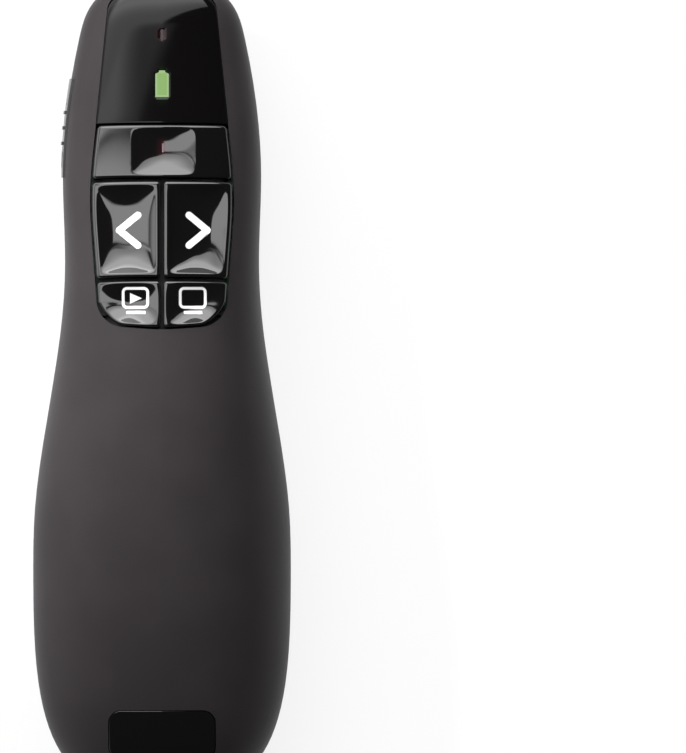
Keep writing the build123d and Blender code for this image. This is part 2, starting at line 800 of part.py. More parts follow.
def cell(side_sign):
    """An AAA cell; the right one is turned round."""
    x = side_sign * cell_pitch / 2
    front = bay_front_y - contact_thickness - cell_nub_length
    if side_sign > 0:
        front = bay_front_y - contact_thickness - spring_length
    rear = front - cell_length
    if side_sign < 0:
        can = rod(rear, front - cell_nub_length, cell_radius, x, cell_z)
        return can + rod(front - cell_nub_length, front, cell_nub_radius, x, cell_z)
    can = rod(rear + cell_nub_length, front, cell_radius, x, cell_z)
    return can + rod(rear, rear + cell_nub_length, cell_nub_radius, x, cell_z)


def contact_plate(x_low, x_high, y_low):
    """A contact plate that covers one pole or both, from the middle of one to the middle of the other."""
    return block((x_low - contact_width / 2, x_high + contact_width / 2), (y_low, y_low + contact_thickness),
                 (cell_z - contact_height / 2, cell_z + contact_height / 2))


def contact_dimple(x, y_low):
    return rod(y_low, y_low + cell_nub_length, contact_dimple_radius, x, cell_z)


def spring(x, y_low, y_high):
    coil = Helix(spring_pitch, y_high - y_low - spring_wire, spring_coil, direction=(0, 1, 0),
                 center=(x, y_low + spring_wire / 2, cell_z))
    wire = Plane(coil @ 0, z_dir=coil % 0) * Circle(spring_wire / 2)
    return sweep(wire, path=coil, is_frenet=True)


front_plate_y = bay_front_y - contact_thickness
receiver_z = (receiver_low + receiver_high) / 2
plug_rear_y = receiver_front_y - plug_root
bridge_y = bay_rear_y + contact_thickness
lens_front_y = barrel_front_y - laser_lens_setback
driver_rear_y = barrel_rear_y - driver_length


def wire(x, y_start, y_end, z_start):
    """A wire that leaves a part towards the nose or the tail, then climbs to the main board."""
    turn = math.copysign(wire_lead, y_end - y_start)
    arrive = deck.from_local_coords((x, along_deck(y_end), board_low))
    end = (x, y_end, arrive.Z + 1)
    route = [(x, y_start, z_start), (x, y_start + turn, z_start), (x, y_end, (z_start + arrive.Z) / 2), end]
    path = FilletPolyline(*route, radius=wire_bend)
    tube = sweep(Plane(path @ 0, z_dir=path % 0) * Circle(wire_radius), path=path)
    return tube - deck_block((-far, far), (-far, far), board_low, board_low + 2 * through)


def centred_block(width, y, thickness, z):
    """A box about the middle plane of the case, centred at height z."""
    return block((-width / 2, width / 2), y, (z - thickness / 2, z + thickness / 2))


def make_receiver_housing():
    case = centred_block(receiver_width, (-far, receiver_front_y), receiver_height, receiver_z) & form(receiver_sunk)
    inside_y = (receiver_front_y - receiver_cavity_length, receiver_front_y + 1)
    case -= centred_block(receiver_cavity_width, inside_y, receiver_cavity_height, receiver_z)
    return case - centred_block(plug_width, (plug_rear_y, receiver_front_y + 1), plug_height, receiver_z)


def make_plug():
    plug = centred_block(plug_width, (plug_rear_y, plug_front_y), plug_height, receiver_z)
    plug -= centred_block(plug_width - 2 * plug_wall, (plug_rear_y - 1, plug_front_y + 1),
                          plug_height - 2 * plug_wall, receiver_z)
    window_y = plug_front_y - plug_window_setback
    for x in (-plug_window_x, plug_window_x):
        plug -= block((x - plug_window_width / 2, x + plug_window_width / 2),
                      (window_y - plug_window_length, window_y),
                      (receiver_z - plug_height, receiver_z + plug_height))
    return plug


tongue_low_z = receiver_z - plug_height / 2 + plug_wall
tongue_top_z = tongue_low_z + usb_tongue_thickness


def make_tongue():
    inner_half = plug_width / 2 - plug_wall
    return block((-inner_half, inner_half), (plug_rear_y, plug_front_y - usb_tongue_setback),
                 (tongue_low_z, tongue_top_z))


def make_usb_contacts():
    return Compound([block((x - usb_contact_width / 2, x + usb_contact_width / 2),
                           (receiver_front_y, plug_front_y - usb_contact_setback),
                           (tongue_top_z, tongue_top_z + usb_contact_thickness)) for x in usb_contact_places])


def make_receiver_board():
    middle = receiver_z - (receiver_cavity_height - receiver_board_thickness) / 2
    return centred_block(receiver_board_width, (receiver_front_y - receiver_board_length, plug_rear_y),
                         receiver_board_thickness, middle)


pieces = {
    "top_shell": make_top_shell,
    "bottom_shell": make_bottom_shell,
    "battery_door": make_battery_door,
    "nose_window": make_nose_window,
    "key_frame": make_key_frame,
    "main_board": make_main_board,
    "board_screws": make_board_screws,
    "case_screws": make_case_screws,
    "battery_light": lambda: light_pipe(battery_light_outline()),
    "laser_light": lambda: light_pipe(laser_light_outline()),
    "indicator_leds": make_leds,
    "radio_chip": lambda: board_part(chip_place, chip_size),
    "crystal": lambda: board_part(crystal_place, crystal_size),
    "switch_bezel": make_bezel,
    "power_slider": make_slider,
    "slide_switch": make_slide_switch,
    "slide_switch_lever": make_lever,
    "laser_barrel": make_barrel,
    "laser_lens": lambda: rod(lens_front_y - laser_lens_thickness, lens_front_y, beam_radius),
    "laser_driver_board": lambda: centred_block(driver_width, (driver_rear_y, barrel_rear_y),
                                                driver_thickness, laser_z),
    "laser_exit_lens": lambda: rod(half - nose_lens_thickness, half - nose_lens_sunk, nose_lens_radius),
    "left_cell": lambda: cell(-1),
    "right_cell": lambda: cell(1),
    "positive_contact": lambda: contact_plate(-pole_x, -pole_x, front_plate_y)
    + contact_dimple(-pole_x, front_plate_y - cell_nub_length),
    "negative_contact": lambda: contact_plate(pole_x, pole_x, front_plate_y),
    "negative_spring": lambda: spring(pole_x, front_plate_y - spring_length, front_plate_y),
    "bridge_contact": lambda: contact_plate(-pole_x, pole_x, bay_rear_y) + contact_dimple(pole_x, bridge_y),
    "bridge_spring": lambda: spring(-pole_x, bridge_y, bridge_y + spring_length),
    "positive_wire": lambda: wire(-pole_x, bay_front_y, wire_board_y, wire_z),
    "negative_wire": lambda: wire(pole_x, bay_front_y, wire_board_y, wire_z),
    "laser_wires": lambda: Compound([wire(x, driver_rear_y, laser_wire_board_y, laser_z)
                                     for x in (-laser_wire_pitch / 2, laser_wire_pitch / 2)]),
    "receiver_housing": make_receiver_housing,
    "receiver_plug": make_plug,
    "receiver_tongue": make_tongue,
    "receiver_contacts": make_usb_contacts,
    "receiver_board": make_receiver_board,
    "tail_emblem": lambda: (emblem_prism() & form(emblem_sunk) & above_seam) - form(emblem_recess),
}
for name in rows:
    pieces[f"{name}_button"] = lambda name=name: key_cap(name)
    pieces[f"{name}_switch"] = lambda name=name: switch_housing(name)
    pieces[f"{name}_plunger"] = lambda name=name: switch_plunger(name)

for node, make in pieces.items():
    shape = make()
    print(node, shape.is_valid, round(shape.volume, 2), len(shape.solids()))
    export_step(shape, f"parts/{node}.step")
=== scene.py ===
import math
import bpy
import bmesh
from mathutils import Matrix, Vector


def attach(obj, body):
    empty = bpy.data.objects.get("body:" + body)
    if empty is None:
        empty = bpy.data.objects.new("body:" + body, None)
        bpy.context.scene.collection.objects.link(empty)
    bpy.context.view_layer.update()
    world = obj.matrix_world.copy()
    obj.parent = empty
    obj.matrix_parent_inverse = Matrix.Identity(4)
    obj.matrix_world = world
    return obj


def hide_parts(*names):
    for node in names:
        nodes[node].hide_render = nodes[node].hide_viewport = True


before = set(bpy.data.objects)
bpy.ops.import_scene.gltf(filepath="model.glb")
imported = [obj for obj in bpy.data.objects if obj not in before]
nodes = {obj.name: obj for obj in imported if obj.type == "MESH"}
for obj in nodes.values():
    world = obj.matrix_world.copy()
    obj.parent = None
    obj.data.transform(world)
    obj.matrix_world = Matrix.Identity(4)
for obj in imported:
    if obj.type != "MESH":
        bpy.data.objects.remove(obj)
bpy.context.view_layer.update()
mm = 0.001
bpy.ops.object.select_all(action="DESELECT")


# --- Top and bottom shells ------------------------------------------------------------------------
# Two halves of the case, injection moulded in black ABS with a fine, soft-touch surface that
# scatters light. They are screwed together through the four bosses from below.

class Value:
    """An output socket of a material's nodes; arithmetic on it adds Math nodes."""

    def __init__(self, finish, socket):
        self.finish = finish
        self.socket = socket

    def math(self, operation, *others):
        return self.finish.node("Math", {"operation": operation}, dict(enumerate((self, *others))))

    def flipped(self, operation, other):
        return self.finish.node("Math", {"operation": operation}, {0: other, 1: self})

    def __add__(self, other):
        return self.math("ADD", other)

    def __radd__(self, other):
        return self.flipped("ADD", other)

    def __sub__(self, other):
        return self.math("SUBTRACT", other)

    def __rsub__(self, other):
        return self.flipped("SUBTRACT", other)

    def __mul__(self, other):
        return self.math("MULTIPLY", other)

    def __rmul__(self, other):
        return self.flipped("MULTIPLY", other)

    def __truediv__(self, other):
        return self.math("DIVIDE", other)

    def __abs__(self):
        return self.math("ABSOLUTE")

    def at_least(self, other):
        return self.math("MAXIMUM", other)

    def at_most(self, other):
        return self.math("MINIMUM", other)

    def fade(self, low, high):
        """0 where the value is at low, 1 at high, with a smooth ramp between."""
        return self.finish.node("MapRange", {"interpolation_type": "SMOOTHSTEP"},
                                {"Value": self, "From Min": low, "From Max": high})


class Finish:
    """A material made of a Principled shader and what feeds it."""

    def __init__(self, name, **constants):
        self.material = bpy.data.materials.new(name)
        self.material.use_nodes = True
        self.tree = self.material.node_tree
        self.shader = self.tree.nodes["Principled BSDF"]
        self.set(**constants)

    def feed(self, socket, value):
        if isinstance(value, Value):
            self.tree.links.new(value.socket, socket)
        elif isinstance(value, tuple) and len(value) == 3 and len(socket.default_value) == 4:
            socket.default_value = (*value, 1)
        else:
            socket.default_value = value

    def set(self, **values):
        for name, value in values.items():
            self.feed(self.shader.inputs[name.replace("_", " ").title().replace("Ior", "IOR")], value)

    def node(self, kind, settings=None, inputs=None, output=0):
        made = self.tree.nodes.new("ShaderNode" + kind)
        for name, value in (settings or {}).items():
            setattr(made, name, value)
        for name, value in (inputs or {}).items():
            self.feed(made.inputs[name], value)
        return Value(self, made.outputs[output])

    def axis(self, name):
        """One of the object coordinates, in millimetres."""
        spot = self.node("TexCoord", output="Object")
        return self.node("SeparateXYZ", inputs={"Vector": spot}, output=name) / mm

    def noise(self, grain, detail=2.0):
        """Noise whose features are about grain metres across."""
        spot = self.node("TexCoord", output="Object")
        return self.node("TexNoise", inputs={"Vector": spot, "Scale": 1 / grain, "Detail": detail})

    def mix(self, share, first, second):
        """Goes from the first colour to the second."""
        return self.node("Mix", {"data_type": "RGBA"}, {0: share, 6: first, 7: second}, output=2)

    def bump(self, height, depth):
        self.set(Normal=self.node("Bump", inputs={"Height": height, "Distance": depth}))

    def cover(self, *pieces):
        for piece in pieces:
            piece.data.materials.clear()
            piece.data.materials.append(self.material)


soft_touch = Finish("soft_touch", Specular_IOR_Level=0.24)
grain = soft_touch.noise(0.28 * mm, detail=3.0)
cloud = soft_touch.noise(9 * mm).fade(0.35, 0.65)
soft_touch.set(Base_Color=soft_touch.mix(cloud, (0.0260, 0.0222, 0.0234), (0.0300, 0.0258, 0.0271)),
               Roughness=0.50 + 0.06 * grain)
soft_touch.bump(grain, 0.012 * mm)
soft_touch.cover(nodes["top_shell"], nodes["bottom_shell"])


# --- Buttons --------------------------------------------------------------------------------------
# Five caps moulded in gloss black ABS, polished, each dished for the thumb with a rounded rim. Their
# skirts and stems run in the key frame below, and their marks are printed on, four of them in white.

# The outer curves of the case, because caps, window and emblem lie in its surface.
hip_y, waist_y, head_y = -24.0 * mm, 17.7 * mm, 31.0 * mm
hip_half, waist_half, head_half = 18.88 * mm, 14.21 * mm, 14.53 * mm
nose_taper, nose_taper_run, nose_taper_power = 2.34 * mm, 19.6 * mm, 1.83
crown_height, crown_y, crown_radius = 26.9 * mm, -13.0 * mm, 180.0 * mm
deck_start_y, deck_radius = 8.5 * mm, 1000.0 * mm
seam_height, half_length, overrun = 12.3 * mm, 59.0 * mm, 0.3 * mm
tail_round, tail_top_round, nose_round = 35.2 * mm, 31.2 * mm, 8.4 * mm
tail_power, tail_top_power, nose_power, nose_top_power = 3.4, 6.0, 3.2, 4.5
# Handles of its cross-section, as shares of its height and half width, with what the head adds.
shoulder_rise, shoulder_rise_gain = 0.60, 0.10
deck_spread, deck_spread_gain = 0.64, 0.20
palm_blend_y, palm_blend_run = -20.0 * mm, 45.0 * mm


def ease(t):
    t = min(max(t, 0.0), 1.0)
    return t * t * (3 - 2 * t)


def blunt(distance, reach, power):
    """Superellipse quarter: 1 while distance is negative, falling to 0 at reach."""
    t = min(max(distance / reach, 0.0), 1.0)
    return (1 - t**power) ** (1 / power)


def bezier(t, first, second, third, last):
    """A coordinate of a curve with four handles, at share t along it."""
    rest = 1 - t
    return rest**3 * first + 3 * rest**2 * t * second + 3 * rest * t * t * third + t**3 * last


def half_width(y):
    if y < waist_y:
        return waist_half + (hip_half - waist_half) * ease((waist_y - y) / (waist_y - hip_y))
    if y < head_y:
        return waist_half + (head_half - waist_half) * ease((y - waist_y) / (head_y - waist_y))
    return head_half - nose_taper * ((y - head_y) / nose_taper_run) ** nose_taper_power


def crown(y):
    """Height of the top line of the case."""
    palm = crown_height - (min(y, deck_start_y) - crown_y) ** 2 / (2 * crown_radius)
    run = max(y - deck_start_y, 0.0)
    return palm - run * (deck_start_y - crown_y) / crown_radius - run**2 / (2 * deck_radius)


def surface(x, y, proud=0.0):
    """Height of the top of the case at x, y: the same curves as the shells', proud metres further out."""
    reach = half_length + overrun
    if y < 0:
        plan = blunt(tail_round - (reach + y), tail_round, tail_power)
        top = blunt(tail_top_round - (reach + y), tail_top_round, tail_top_power)
    else:
        plan = blunt(nose_round - (reach - y), nose_round, nose_power)
        top = blunt(nose_round - (reach - y), nose_round, nose_top_power)
    front = ease((y - palm_blend_y) / palm_blend_run)
    side = half_width(y) * plan + proud
    ridge = seam_height + (crown(y) - seam_height) * top + proud
    shoulder = seam_height + (shoulder_rise + shoulder_rise_gain * front) * (ridge - seam_height)
    deck_x = (deck_spread + deck_spread_gain * front) * side
    # The place along the curve where it reaches x, found by halving.
    low, high = 0.0, 1.0
    for _ in range(40):
        t = (low + high) / 2
        if bezier(t, 0.0, deck_x, side, side) < abs(x):
            low = t
        else:
            high = t
    return bezier(t, ridge, ridge, shoulder, seam_height)


# The key deck is a plane that touches the top line at deck_y.
deck_y = 24.0 * mm
deck_tilt = math.atan((deck_start_y - crown_y) / crown_radius + (deck_y - deck_start_y) / deck_radius)
deck_up = Vector((0, math.sin(deck_tilt), math.cos(deck_tilt)))


def deck_point(x, y, depth):
    """A point at depth above the plane of the key deck, on the square through x, y on that plane."""
    return Vector((x, y, crown(deck_y) - (y - deck_y) * math.tan(deck_tilt))) + depth * deck_up


def seat(x, y, depth=0.0, proud=0.0):
    """A point at depth above the case, measured square to the key deck."""
    foot = deck_point(x, y, 0)
    rise = 0.0
    for _ in range(4):
        rise = (surface(x, foot.y + rise * deck_up.y, proud) - foot.z) / deck_up.z
    return foot + (rise + depth) * deck_up


def bent_line(t, before, after, reach):
    """Height of a line that turns from one slope to another at t = 0, over reach on each side."""
    if abs(t) > reach:
        return (before if t < 0 else after) * t
    return before * t + (after - before) * (t + reach) ** 2 / (4 * reach)


# The opening in the top shell: its sides bulge at bulge_y, and its rear end bows out in the middle.
bulge_half, bulge_y, bulge_reach, bulge_slopes = 10.75 * mm, 28.2 * mm, 5.5 * mm, (0.0749, -0.1089)
field_rear, bow_slope, bow_reach = 8.05 * mm, 0.086, 2.57 * mm
field_front = 38.3 * mm


def opening_side(y):
    return bulge_half + bent_line(y - bulge_y, *bulge_slopes, bulge_reach)


def opening_rear(x):
    return field_rear + bent_line(x, -bow_slope, bow_slope, bow_reach)


edge_gap, key_gap, key_proud = 0.30 * mm, 0.55 * mm, 0.30 * mm
skirt_depth, key_wall, hollow_height = 2.7 * mm, 1.0 * mm, 1.3 * mm
laser_row_rear, arrow_row_rear = 30.3 * mm, 15.75 * mm
button_rim, button_rim_fall = 0.42 * mm, 0.6
smooth_angle = math.radians(40)


def grid_lines(width, rim, step):
    """Places of lines across a plate: close together on its rounded rim and just inside it, and evenly
    spaced between."""
    turns, inside_rim = 5, (0.12 * mm, 0.28 * mm)
    near = [rim * (1 - math.cos(math.radians(90 * turn / turns))) for turn in range(turns + 1)]
    near += [rim + inside for inside in inside_rim]
    count = round((width - 2 * near[-1]) / step)
    middle = [near[-1] + (width - 2 * near[-1]) * line / count for line in range(1, count)]
    return near + middle + [width - place for place in reversed(near)]


def round_corner(a, b, radius):
    """Moves a point at a and b inside the edges of a square corner to where it lies in a round one."""
    if a >= radius or b >= radius:
        return a, b
    level = min(a, b)
    span = radius - level
    share = (radius - b) / span if a <= b else 1 + (a - level) / span
    return radius - span * math.cos(share * math.pi / 4), radius - span * math.sin(share * math.pi / 4)


def plate(name, size, edges, radii, settle, rim, step=0.24 * mm, rim_fall=1.0):
    """The top of a plate with a rounded rim. edges(x, y) gives left, right, rear and front, radii the
    corners (rear left, rear right, front left, front right), and settle(x, y, depth) the place of a
    point. The rim is rim wide and falls by rim_fall of that."""
    columns, rows = grid_lines(size[0], rim, step), grid_lines(size[1], rim, step)
    bpy.ops.mesh.primitive_grid_add(x_subdivisions=len(columns) - 1, y_subdivisions=len(rows) - 1, size=1)
    made = bpy.context.object
    made.name = name
    for vertex in made.data.vertices:
        across = columns[round((vertex.co.x + 0.5) * (len(columns) - 1))] / size[0]
        along = rows[round((vertex.co.y + 0.5) * (len(rows) - 1))] / size[1]
        # The edges bend with the place between them, so it is found in three rounds.
        x = y = 0.0
        for _ in range(3):
            left, right, rear, front = edges(x, y)
            x = left + across * (right - left)
            y = rear + along * (front - rear)
        sideways, endways = min(x - left, right - x), min(y - rear, front - y)
        short = max(rim - min(sideways, endways), 0.0)
        radius = radii[(x - left > right - x) + 2 * (y - rear > front - y)]
        in_x, in_y = round_corner(sideways, endways, radius)
        x = left + in_x if x - left <= right - x else right - in_x
        y = rear + in_y if y - rear <= front - y else front - in_y
        vertex.co = settle(x, y, rim_fall * (math.sqrt(max(rim**2 - short**2, 0.0)) - rim))
    return made


def skirted(made, low, wall, ceiling):
    """Draws the edge of a plate down to where low(point) says, and hollows it from below."""
    bpy.context.view_layer.objects.active = made
    bpy.ops.object.mode_set(mode="EDIT")
    bpy.ops.mesh.select_mode(type="EDGE")
    bpy.ops.mesh.select_all(action="DESELECT")
    bpy.ops.mesh.select_non_manifold(use_wire=False, use_multi_face=False, use_non_contiguous=False,
                                     use_verts=False)
    bpy.ops.mesh.extrude_region_move()
    mesh = bmesh.from_edit_mesh(made.data)
    foot = [vertex for vertex in mesh.verts if vertex.select]
    for vertex in foot:
        vertex.co = low(vertex.co)
    lows = [min(vertex.co[axis] for vertex in foot) for axis in (0, 1, 2)]
    highs = [max(vertex.co[axis] for vertex in foot) for axis in (0, 1, 2)]
    middle = [(a + b) / 2 for a, b in zip(lows, highs)]
    shrink = (1 - 2 * wall / (highs[0] - lows[0]), 1 - 2 * wall / (highs[1] - lows[1]))
    bpy.ops.mesh.extrude_region_move()
    bpy.ops.transform.resize(value=(shrink[0], shrink[1], shrink[1]), center_override=middle)
    bpy.ops.mesh.extrude_region_move(TRANSFORM_OT_translate={"value": ceiling * deck_up})
    bpy.ops.mesh.edge_face_add()
    bpy.ops.mesh.select_all(action="SELECT")
    bpy.ops.mesh.normals_make_consistent(inside=False)
    bpy.ops.object.mode_set(mode="OBJECT")
    bpy.ops.object.shade_smooth_by_angle(angle=smooth_angle)


def key_edges(key):
    """The edges of a cap, seen from above, as a function of the place."""
    left_side = key in ("previous", "slideshow")

    def edges(x, y):
        side = opening_side(y) - edge_gap
        left = -side if key == "laser" or left_side else key_gap / 2
        right = side if key == "laser" or not left_side else -key_gap / 2
        if key == "laser":
            return left, right, laser_row_rear, field_front - edge_gap
        if key in ("previous", "next"):
            return left, right, arrow_row_rear, laser_row_rear - key_gap
        return left, right, opening_rear(x) + edge_gap, arrow_row_rear - key_gap

    return edges


# In millimetres: width and length before the edges bend them, depth of the dish, and where it starts
# inside the edge. As powers: how much squarer its outline is than its middle, how flat its floor is,
# and how much flatter along. The laser key's dish has its own middle and half size.
key_sizes = {"laser": (20.6, 7.7), "previous": (10.0, 14.0), "next": (10.0, 14.0),
             "slideshow": (9.6, 7.0), "black_screen": (9.6, 7.0)}
dish_depth = {"laser": 0.70, "previous": 1.2, "next": 1.2, "slideshow": 1.05, "black_screen": 1.05}
dish_shelf = {"laser": 0.0, "previous": 0.55, "next": 0.55, "slideshow": 0.25, "black_screen": 0.25}
dish_square = {"laser": 4.0, "previous": 5.0, "next": 5.0, "slideshow": 2.5, "black_screen": 2.5}
dish_floor = {"laser": 2.0, "previous": 2.4, "next": 2.4, "slideshow": 1.6, "black_screen": 1.6}
dish_along = {"previous": 1.5, "next": 1.5}
laser_dish_x, laser_dish_half, laser_dish_half_length = 0.2 * mm, 4.65 * mm, 3.5 * mm


def hollow(key, x, y):
    """Depth of the dish of a cap at x, y: a bowl on a rounded rectangle, with a crisp rim."""
    left, right, rear, front = key_edges(key)(x, y)
    if key == "laser":
        left, right = laser_dish_x - laser_dish_half, laser_dish_x + laser_dish_half
        middle_y = (rear + front) / 2
        rear, front = middle_y - laser_dish_half_length, middle_y + laser_dish_half_length
    shelf = dish_shelf[key] * mm
    across = abs(x - (left + right) / 2) / ((right - left) / 2 - shelf)
    along = (abs(y - (rear + front) / 2) / ((front - rear) / 2 - shelf)) ** dish_along.get(key, 1.0)
    square = 2 + dish_square[key] * (across**4 + along**4)
    level = (across**square + along**square) ** (1 / square)
    return dish_depth[key] * mm * max(1 - level ** dish_floor[key], 0.0)


big_corner, small_corner = 4.1 * mm, 0.5 * mm
key_corners = {"slideshow": (big_corner, small_corner, small_corner, small_corner),
               "black_screen": (small_corner, big_corner, small_corner, small_corner)}


def skirt_foot(point):
    """The point of a skirt's lower edge that lies straight below, square to the deck."""
    depth = (point - deck_point(0, deck_y, 0)).dot(deck_up)
    return point - (depth + skirt_depth) * deck_up


# The marks are drawn by their gap, the distance in millimetres from their outline, less than 0 inside.
def hypot(a, b):
    return (a * a + b * b).math("SQRT")


def line_gap(x, y, start, end, half_stroke):
    """Gap to a line between two points."""
    run, rise = end[0] - start[0], end[1] - start[1]
    share = ((x - start[0]) * run + (y - start[1]) * rise) / (run**2 + rise**2)
    share = share.at_least(0.0).at_most(1.0)
    return hypot(x - share * run - start[0], y - share * rise - start[1]) - half_stroke


def box_gap(x, y, middle, size, corner):
    """Gap to a rounded rectangle."""
    over_x = abs(x - middle[0]) - (size[0] / 2 - corner)
    over_y = abs(y - middle[1]) - (size[1] / 2 - corner)
    outside = hypot(over_x.at_least(0.0), over_y.at_least(0.0))
    return outside + over_x.at_least(over_y).at_most(0.0) - corner


def arrow_mark(apex, end, half_stroke=0.5):
    """Two strokes from the apex of an arrow, one ahead of it and one behind."""
    return lambda x, y: line_gap(x, abs(y - apex[1]), (apex[0], 0.0), end, half_stroke)


screen_y, screen_height, screen_corner, frame_stroke = 12.75, 2.75, 0.55, 0.39
foot_y, foot_height, foot_corner = 10.62, 0.42, 0.08
play_rear_x, play_tip_x, play_y, play_slope = -4.66, -2.95, 12.68, (0.78, 1.75)


def screen_mark(left, right, foot_left, foot_right, playing):
    """A screen with a line under it, and a play triangle in it if playing."""
    screen, screen_size = ((left + right) / 2, screen_y), (right - left - frame_stroke, screen_height)
    foot, foot_size = ((foot_left + foot_right) / 2, foot_y), (foot_right - foot_left, foot_height)

    def gap(x, y):
        outline = abs(box_gap(x, y, screen, screen_size, screen_corner)) - frame_stroke / 2
        marks = outline.at_most(box_gap(x, y, foot, foot_size, foot_corner))
        if playing:
            edge = (x - play_tip_x) * play_slope[0] + abs(y - play_y) * play_slope[1]
            marks = marks.at_most((edge / math.hypot(*play_slope)).at_least(play_rear_x - x))
        return marks

    return gap


def beam_mark(x, y):
    return line_gap(x, y, (0.12, 34.1), (0.12, 35.2), 0.12)


key_marks = {"laser": beam_mark,
             "previous": arrow_mark((-6.25, 22.62), (-3.53, 2.20)),
             "next": arrow_mark((6.60, 22.62), (3.93, 2.20)),
             "slideshow": screen_mark(-5.86, -1.90, -5.20, -2.42, True),
             "black_screen": screen_mark(2.46, 6.50, 3.18, 5.85, False)}
white_ink, dim_red_ink, painted_red_glow = (0.86, 0.86, 0.86), (0.17, 0.10, 0.115), (0.05, 0.008, 0.012)
print_blur, glow_reach, glow_share = 0.04, 1.2, 0.25


def printed(key):
    """Gloss black with the key's mark printed on it. The laser key's mark is dim, with a red glow painted
    into the black round it.
    """
    made = Finish(key + "_print", Specular_IOR_Level=0.8)
    gap = key_marks[key](made.axis("X"), made.axis("Y"))
    bare = gap.fade(-print_blur, print_blur)
    black = made.mix(made.noise(6 * mm), (0.0028, 0.0024, 0.0026), (0.0032, 0.0028, 0.0030))
    if key == "laser":
        # Painted glow: red light round the laser mark, mixed into the black of the cap's base colour.
        black = made.mix(gap.fade(glow_reach, 0.0) * glow_share, black, painted_red_glow)
    made.set(Base_Color=made.mix(bare, dim_red_ink if key == "laser" else white_ink, black),
             Roughness=0.32 - 0.28 * bare + 0.03 * made.noise(3 * mm))
    return made


stem_radius, stem_foot, stem_head = 1.3 * mm, -3.60 * mm, -1.2 * mm
stem_places = {"laser": (0.0, 34.15), "previous": (-5.2125, 22.75), "next": (5.2125, 22.75),
               "slideshow": (-4.6125, 12.225), "black_screen": (4.6125, 12.225)}

for key in key_sizes:
    cap = plate(key + "_cap", [side * mm for side in key_sizes[key]], key_edges(key),
                key_corners.get(key, (small_corner,) * 4),
                lambda x, y, depth: seat(x, y, depth - hollow(key, x, y), key_proud),
                rim=button_rim, rim_fall=button_rim_fall)
    skirted(cap, skirt_foot, key_wall, hollow_height)
    x, y = (place * mm for place in stem_places[key])
    bpy.ops.mesh.primitive_cylinder_add(vertices=32, radius=stem_radius, depth=stem_head - stem_foot,
                                        location=deck_point(x, y, (stem_head + stem_foot) / 2),
                                        rotation=(-deck_tilt, 0, 0))
    bpy.ops.object.transform_apply(location=True, rotation=True, scale=True)
    cap.select_set(True)
    bpy.context.view_layer.objects.active = cap
    bpy.ops.object.join()
    printed(key).cover(cap)
    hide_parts(key + "_button")
    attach(cap, key + "_button_body")

# --- Nose window ----------------------------------------------------------------------------------
# A smoked acrylic cover, polished, set flush in the nose over the indicators, with an opening for
# each light.

smoked = Finish("smoked_acrylic", Specular_IOR_Level=0.24)
# The lights' glow is painted into the acrylic's colour round them, the battery's in a halo that is longer
# than it is wide.
beam_light_y, beam_halo = 51.2, (1.5, 0.3)
battery_light_y, battery_halo, battery_halo_across, battery_halo_along = 43.9, (2.4, 1.2), 1.5, 0.7
red_halo = hypot(smoked.axis("X"), smoked.axis("Y") - beam_light_y).fade(*beam_halo)
green_halo = hypot(smoked.axis("X") * battery_halo_across,
                   (smoked.axis("Y") - battery_light_y) * battery_halo_along).fade(*battery_halo)
# Painted glow: red round the laser light and green round the battery light, mixed into the base colour.
black_with_red_glow = smoked.mix(red_halo, (0.0030, 0.0026, 0.0028), (0.011, 0.0030, 0.0040))
smoked.set(Base_Color=smoked.mix(green_halo, black_with_red_glow, (0.0035, 0.0085, 0.0030)),
           Roughness=0.04 + 0.03 * smoked.noise(4 * mm))
window_size, window_thickness, window_front = (18.4 * mm, 18.95 * mm), 1.0 * mm, 57.25 * mm
window_rear_half, window_taper = 9.65 * mm, 1.90 * mm
window_corners = (0.15 * mm, 0.15 * mm, 2.2 * mm, 2.2 * mm)


def window_edges(x, y):
    side = window_rear_half - window_taper * (y - field_front) / (window_front - field_front)
    return -side, side, field_front, window_front


def thickened(made, depth):
    """Draws a plate out to a solid."""
    bpy.context.view_layer.objects.active = made
    bpy.ops.object.mode_set(mode="EDIT")
    bpy.ops.mesh.select_all(action="SELECT")
    bpy.ops.mesh.extrude_region_move(TRANSFORM_OT_translate={"value": depth})
    bpy.ops.mesh.select_all(action="SELECT")
    bpy.ops.mesh.normals_make_consistent(inside=False)
    bpy.ops.object.mode_set(mode="OBJECT")
    bpy.ops.object.shade_smooth_by_angle(angle=smooth_angle)


def cut_through(made, outline, reach=4 * mm):
    """Cuts an opening with an outline seen from above, square to the key deck."""
    bpy.ops.mesh.primitive_circle_add(vertices=len(outline), fill_type="NGON")
    cutter = bpy.context.object
    for vertex, (x, y) in zip(cutter.data.vertices, outline):
        vertex.co = deck_point(x * mm, y * mm, -reach)
    thickened(cutter, 2 * reach * deck_up)
    hole = made.modifiers.new("opening", "BOOLEAN")
    hole.object, hole.operation, hole.solver = cutter, "DIFFERENCE", "EXACT"
    bpy.context.view_layer.objects.active = made
    bpy.ops.object.modifier_apply(modifier=hole.name)
    bpy.data.objects.remove(cutter)


battery_shape = [(1.0, 42.08), (1.0, 45.52), (0.92, 45.64), (0.50, 45.80), (0.45, 46.06),
                 (-0.45, 46.06), (-0.50, 45.80), (-0.92, 45.64), (-1.0, 45.52), (-1.0, 42.08)]
beam_shape = [(0.24, 50.33), (0.24, 52.07), (-0.24, 52.07), (-0.24, 50.33)]
window = plate("window", window_size, window_edges, window_corners, seat, rim=0.12 * mm, step=0.5 * mm)
thickened(window, -window_thickness * deck_up)
for shape in (battery_shape, beam_shape):
    cut_through(window, shape)
bpy.ops.object.shade_smooth_by_angle(angle=smooth_angle)
smoked.cover(window)
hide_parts("nose_window")
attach(window, "case")
